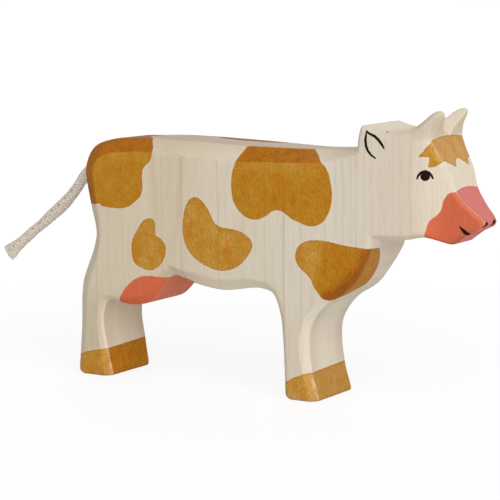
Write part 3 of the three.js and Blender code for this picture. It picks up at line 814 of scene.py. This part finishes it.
# Painted shade on the fronts and outer sides of the horns.
wood = wood.blend(srgb(184, 164, 134), on_edge * upright.rise(86, 88) * along.rise(55, 58) * 0.3)
shaded_horn_sides = abs(width).rise(6.5, 8.5) * (1 - on_edge) * upright.rise(85.5, 88.5) * along.rise(52, 56)
wood = wood.blend(srgb(150, 130, 104), shaded_horn_sides * 0.25)
# The back: its bevel is a little yellower, and its top is greyer, a painted shade.
back = upright.rise(78, 82) * (1 - along.rise(33, 37))
wood = wood.blend(srgb(198, 178, 144), cut * back * 0.4)
# Painted shade on the top of the back.
wood = wood.blend(srgb(168, 148, 132), on_edge * back * 0.55)

# %% Stain: its tone, from thin and golden to deep and orange
blotch = in_mm.stretched(0.33, 0.33, 0.2).grainy(2.0, 0.55)
hatch = in_mm.stretched(1.8, 1.8, 1.15).grainy(4.0, 0.75)
short_fibres = in_mm.stretched(2.9, 2.9, 0.42).grainy(3.0, 0.6)
tone = attribute("deep") + 0.75 * (blotch - 0.5) + 1.8 * (hatch - 0.5) + 0.4 * (short_fibres - 0.5)
STAIN_TONES = [
    (0.0, srgb(200, 156, 94)), (0.12, srgb(191, 143, 62)), (0.34, srgb(183, 132, 44)),
    (0.58, srgb(180, 122, 26)), (0.8, srgb(172, 109, 20)), (0.93, srgb(167, 98, 24)),
    (1.0, srgb(156, 88, 18)),
]
stain = (tone / 1.25).ramp(STAIN_TONES)
warm = in_mm.stretched(0.21, 0.21, 0.16).grainy(2.0, 0.5)
stain = stain.blend(srgb(188, 108, 12), (warm - 0.5).rise(0.0, 0.2) * 0.4)
stain = stain.blend(srgb(210, 164, 84), (0.45 - short_fibres).rise(0.0, 0.16) * 0.26)
stain = stain.blend(srgb(140, 84, 14), (fine_fibres - 0.52).rise(0.0, 0.2) * 0.26)
stain = stain.blend(srgb(146, 92, 22), (hatch - 0.54).rise(0.0, 0.16) * 0.35)
stain = stain.blend(srgb(146, 92, 24), growth * 0.25)
# Painted shade: the stain on the top of the back is darker.
stain = stain.blend(srgb(118, 76, 40), on_edge * back * 0.5)
stain = stain.blend(srgb(150, 118, 92), on_edge * (12 - upright).rise(0, 1) * fore * 0.17)
# Painted light: the stain on the front of the head is paler.
stain = stain.blend(srgb(188, 150, 112), on_edge * along.rise(54, 56) * 0.16)
past_streak = (0 - attribute("inner_crease") - 0.13 * (50 - upright)).rise(1.7, 3.3)
on_chest = along.rise(24, 28) * (56 - upright).rise(0, 2)
stain = stain.blend(srgb(150, 108, 78), past_streak * on_chest * 0.36)
dark_streak = (0 - attribute("inner_crease")).rise(-1.2, 1.4) * (1 - past_streak)
stain = stain.blend(srgb(132, 74, 14), dark_streak * on_chest * 0.3)
bleed = 0.3 * (fibres - 0.5) + 0.5 * (hatch - 0.5)
ochre_depth = attribute("ochre") + bleed
ochre_cover = ochre_depth.rise(-0.17, 0.17)
rim = ochre_depth.rise(0.0, 0.15) * (1 - ochre_depth.rise(0.25, 0.75))
stain = stain.blend(srgb(150, 100, 36), rim * 0.3)
wood_near_stain = wood.blend(srgb(226, 208, 176), attribute("ochre").rise(-0.8, -0.2) * 0.22)
surface = wood_near_stain.blend(stain, ochre_cover)

# %% Coral paint on the muzzle and udder
on_nose = along.rise(60, 66)
coral_paint = mix_colours(wire.tree, srgb(207, 104, 70), srgb(193, 95, 66), on_nose)
coral_paint = coral_paint.blend(srgb(214, 118, 84), cut * on_nose * upright.rise(57.5, 61) * (speckle + 0.1))
coral_paint = coral_paint.blend(srgb(207, 122, 115), on_edge * on_nose * (speckle * 0.5 + 0.75))
# Painted light: the coral on the sawn edge behind the nose, mostly the udder's shaded front, is lighter and
# pinker.
coral_paint = coral_paint.blend(srgb(212, 134, 105), on_edge * (1 - on_nose) * 0.75)
coral_paint = coral_paint.blend(srgb(186, 80, 50), (hatch - 0.5).rise(0.0, 0.2) * 0.4)
coral_paint = coral_paint.blend(srgb(224, 132, 98), (0.47 - fibres).rise(0.0, 0.2) * 0.3)
coral_cover = (attribute("coral") + 0.6 * bleed).rise(-0.14, 0.14)
surface = surface.blend(coral_paint, coral_cover)

# %% [markdown]
# ## Brush marks
# Eye, ear, mouth and nostrils are strokes of a fine brush in black. Each stroke is a chain of straight
# pieces with a brush width at each point. The material works out the distance to the nearest piece, less
# the brush width there, so the strokes stay sharp at any size. Both sides of the cow have them, so the
# width direction is taken without its sign. Only the nostrils are drawn one by one. A pin knot in the ear
# is as dark as a stroke and is drawn with them.

# %% Distance to a chain of brush points
folded = wire.node("ShaderNodeCombineXYZ", {}, {0: along, 1: abs(width), 2: upright})


def brush(points, where=folded):
    """points are (x, z, half width) in mm on the side, or (x, y, z, half width)."""
    nearest = None
    flat = len(points[0]) == 3
    spots = [(p[0], 0.0, p[1], p[2]) if flat else p for p in points]
    where = where.stretched(1, 0, 1) if flat else where
    for a, b in zip(spots, spots[1:]):
        start, step = Vector(a[:3]), Vector(b[:3]) - Vector(a[:3])
        to_place = where.vector("SUBTRACT", where, tuple(start))
        share = to_place.vector("DOT_PRODUCT", to_place, tuple(step / step.length_squared), output="Value")
        share = share.most(0.0).least(1.0)
        on_line = wire.node("ShaderNodeCombineXYZ", {}, {k: share * step[k] for k in range(3)})
        gap = to_place.vector("DISTANCE", to_place, on_line, output="Value") - (share * (b[3] - a[3]) + a[3])
        nearest = gap if nearest is None else nearest.least(gap)
    return nearest


# %% Strokes
EAR_TOP = [
    (38.2, 88.7, 0.18), (39.3, 87.9, 0.35), (41.2, 87.2, 0.45), (42.6, 86.1, 0.47), (43.8, 84.7, 0.44),
    (44.5, 83.6, 0.27),
]
EAR_FRONT = [
    (38.35, 88.3, 0.26), (38.0, 86.0, 0.46), (38.2, 84.1, 0.46), (38.9, 82.5, 0.42), (40.1, 81.2, 0.37),
    (41.6, 80.3, 0.22),
]
LID = [
    (56.0, 74.7, 0.26), (56.4, 75.7, 0.34), (57.2, 76.6, 0.42), (58.4, 77.0, 0.46), (59.5, 76.6, 0.42),
    (60.2, 75.8, 0.34), (60.6, 74.9, 0.26),
]
PUPIL = [(58.4, 75.4, 1.36), (58.45, 75.5, 1.36)]
MOUTH = [
    (68.1, 8.2, 60.4, 0.05), (68.8, 8.0, 59.5, 0.34), (69.4, 7.7, 58.8, 0.52), (70.0, 7.0, 58.0, 0.64),
    (70.2, 5.8, 57.5, 0.62),
]
LIPS = [(70.2, 5.6, 57.4, 0.24), (70.0, 3.0, 57.1, 0.19), (69.9, 0.0, 57.0, 0.17)]
NOSTRIL_RIGHT = [(74.6, -4.6, 59.8, 0.42), (75.0, -3.8, 60.2, 0.8), (75.2, -2.9, 60.8, 0.7)]
NOSTRIL_LEFT = [(74.8, 0.9, 60.0, 0.4), (75.1, 1.8, 60.5, 0.72), (75.2, 2.7, 61.1, 0.64)]
PIN_KNOT = [(44.3, 10.9, 88.5, 0.3), (44.4, 10.9, 88.5, 0.3)]

side_marks = brush(EAR_TOP).least(brush(EAR_FRONT)).least(brush(LID)).least(brush(PUPIL))
# The marks on the sides stay off the middle of the board.
side_marks = side_marks.most(6.5 - abs(width))
nose_marks = brush(MOUTH).least(brush(LIPS)).least(brush(PIN_KNOT))
nose_marks = nose_marks.least(brush(NOSTRIL_RIGHT, in_mm)).least(brush(NOSTRIL_LEFT, in_mm))
ink_cover = 1 - (side_marks.least(nose_marks) + 0.1 * (speckle - 0.5)).rise(-0.07, 0.09)
surface = surface.blend(srgb(27, 15, 10), ink_cover)

# %% Wear and painted highlight: a pale painted highlight along the outer creases,
# and paint and stain worn thin in specks
# Painted highlight: a pale line along the outer creases, strongest on the face.
crease_highlight = 1 - abs(attribute("outer_crease")).rise(0.06, 0.34)
hoof_edge = (12 - upright).rise(0, 1) * to_bevel.rise(-0.3, 0.1) * (1 - to_bevel.rise(0.2, 3.0))
patchy = in_mm.stretched(0.5, 0.5, 0.5).grainy(2.0)
bare_and_highlight = 0.8 * crease_highlight.most(0.8 * hoof_edge) + 1.6 * (hatch - 0.5)
bare_and_highlight = bare_and_highlight + 1.4 * (speckle - 0.5) + 1.3 * (patchy - 0.5)
specks_and_highlight = attribute("wear_and_highlight") * bare_and_highlight.rise(0.4, 1.05)
surface = surface.blend(srgb(238, 220, 190), specks_and_highlight * (0.62 - 0.17 * coral_cover))

# %% Body material
painted = ochre_cover.most(coral_cover)
roughness = 0.72 - 0.06 * painted + 0.08 * (fibres - 0.5)
relief = 0.6 * fibres + 0.4 * fine_fibres - 0.4 * growth + 0.25 * speckle * painted
finish_material(wire, surface, roughness, relief, 0.035 * MM, **{"Specular IOR Level": 0.06})
skin.materials.append(maple)
print("body material:", len(maple.node_tree.nodes), "nodes")

# %% [markdown]
# ## Cotton
# Undyed cotton is a warm off-white, darker down between the strands where no light gets in and where
# handling leaves dust. The height of the braid, stored on the mesh, drives that shade; fine noise adds
# the fuzz of the yarn.

# %% Cotton material
cotton, wire = new_material("cotton_yarn")
place_mm = place_in_mm(wire)
fuzz = place_mm.stretched(5.0, 5.0, 5.0).grainy(3.0, 0.7)
blotch = place_mm.stretched(0.9, 0.9, 0.9).grainy(2.0, 0.6)
crown = attribute("crown")
towards_end = -1 * place_mm.node("ShaderNodeSeparateXYZ", {}, {0: place_mm})
COTTON_TONES = [
    (0.0, srgb(98, 86, 76)), (0.3, srgb(176, 165, 151)), (0.7, srgb(217, 209, 196)),
    (1.0, srgb(234, 227, 214)),
]
yarn = (crown + 1.2 * (fuzz - 0.5) + 0.5 * (blotch - 0.5)).ramp(COTTON_TONES)
yarn = yarn.blend(srgb(196, 172, 146), (blotch - 0.47).rise(0.0, 0.2) * 0.4)
yarn = yarn.blend(srgb(176, 176, 178), (0.47 - blotch).rise(0.0, 0.2) * 0.3)
yarn = yarn.blend(srgb(230, 214, 184), towards_end.rise(94, 112) * 0.3)
COTTON_SHINE = {"Specular IOR Level": 0.2, "Sheen Weight": 0.15}
finish_material(wire, yarn, 0.92 + 0.06 * (fuzz - 0.5), fuzz, 0.12 * MM, **COTTON_SHINE)
for piece in (tail, tail_root, cut_yarns):
    piece.data.materials.append(cotton)

# %% Glue in the bore
glue, wire = new_material("dried_wood_glue")
place = wire.node("ShaderNodeTexCoord", output="Object")
bubbles = place.stretched(1400, 1400, 1400).grainy(2.0)
glue_colour = bubbles.ramp([(0.3, srgb(206, 186, 140)), (0.7, srgb(234, 222, 190))])
finish_material(wire, glue_colour, 0.35 + 0.2 * bubbles, bubbles, 0.08 * MM)
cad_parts["tail_glue"].data.materials.clear()
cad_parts["tail_glue"].data.materials.append(glue)

# %% [markdown]
# ## Floor and light
# A product photographer lights such a toy softly from the camera's side, with a white sheet under and
# behind it. The sheet is plain white to the camera and pale to the light, so the cow keeps a faint
# shadow. One large soft lamp stands near the camera and above, a weaker one behind the cow on its far
# side, and the world fills in the rest.

# %% Floor
floor_mesh = bpy.data.meshes.new("floor")
floor_mesh.from_pydata([(-6, -6, 0), (6, -6, 0), (6, 6, 0), (-6, 6, 0)], [], [(0, 1, 2, 3)])
floor = bpy.data.objects.new("floor", floor_mesh)
scene.collection.objects.link(floor)
sheet, wire = new_material("white_sheet")
paper_grain = wire.node("ShaderNodeTexCoord", output="Object").stretched(900, 900, 900).grainy(2.0)
paper_colour = paper_grain.ramp([(0.3, grey(0.86)), (0.7, grey(0.9))])
paper = wire.node("ShaderNodeBsdfDiffuse", {}, {"Color": paper_colour})
glow = wire.node("ShaderNodeEmission", {}, {"Color": grey(1.0), "Strength": 1.05})
rays = wire.node("ShaderNodeLightPath", output="Is Camera Ray")
from_cow = wire.node("ShaderNodeTexCoord", output="Object")
from_cow = from_cow.vector("LENGTH", from_cow, output="Value")
# Near the cow the glow is a little weaker, so that its shadow shows.
glow_share = rays * (0.78 + 0.22 * from_cow.rise(0.12, 0.45))
seen = wire.node("ShaderNodeMixShader", {}, {0: glow_share, 1: paper, 2: glow})
wire.node("ShaderNodeOutputMaterial", {}, {"Surface": seen})
floor_mesh.materials.append(sheet)

# %% World: white to the camera, softer to the cow
world = bpy.data.worlds.new("studio")
world.use_nodes = True
world.node_tree.nodes.clear()
scene.world = world
wire = Wire(world.node_tree)
path = wire.node("ShaderNodeLightPath")
to_camera, glossy, transmitted = (
    Wire(path.tree, path.socket.node.outputs[name])
    for name in ("Is Camera Ray", "Is Glossy Ray", "Is Transmission Ray")
)
fill = wire.node("ShaderNodeBackground", {}, {"Color": grey(1.0), "Strength": 0.48})
white = wire.node("ShaderNodeBackground", {}, {"Color": grey(1.0), "Strength": 1.0})
sees_white = to_camera.most(glossy).most(transmitted)
backdrop = wire.node("ShaderNodeMixShader", {}, {0: sees_white, 1: fill, 2: white})
wire.node("ShaderNodeOutputWorld", {}, {"Surface": backdrop})


# %% Lamps
def soft_lamp(name, azimuth, elevation, distance, size, power):
    outwards = direction(azimuth, elevation)
    lamp = bpy.data.objects.new(name, bpy.data.lights.new(name, "AREA"))
    scene.collection.objects.link(lamp)
    lamp.data.shape = "DISK"
    lamp.data.size = size
    lamp.data.energy = power
    lamp.location = Vector((0, 0, 0.045)) + outwards * distance
    lamp.rotation_mode = "QUATERNION"
    lamp.rotation_quaternion = outwards.to_track_quat("Z", "Y")
    print(name, power, "W at", distance, "m")


soft_lamp("key lamp", azimuth=47, elevation=34, distance=1.2, size=1.4, power=11.3)
soft_lamp("far lamp", azimuth=215, elevation=32, distance=1.3, size=0.8, power=3)
scene.view_settings.view_transform = "Standard"
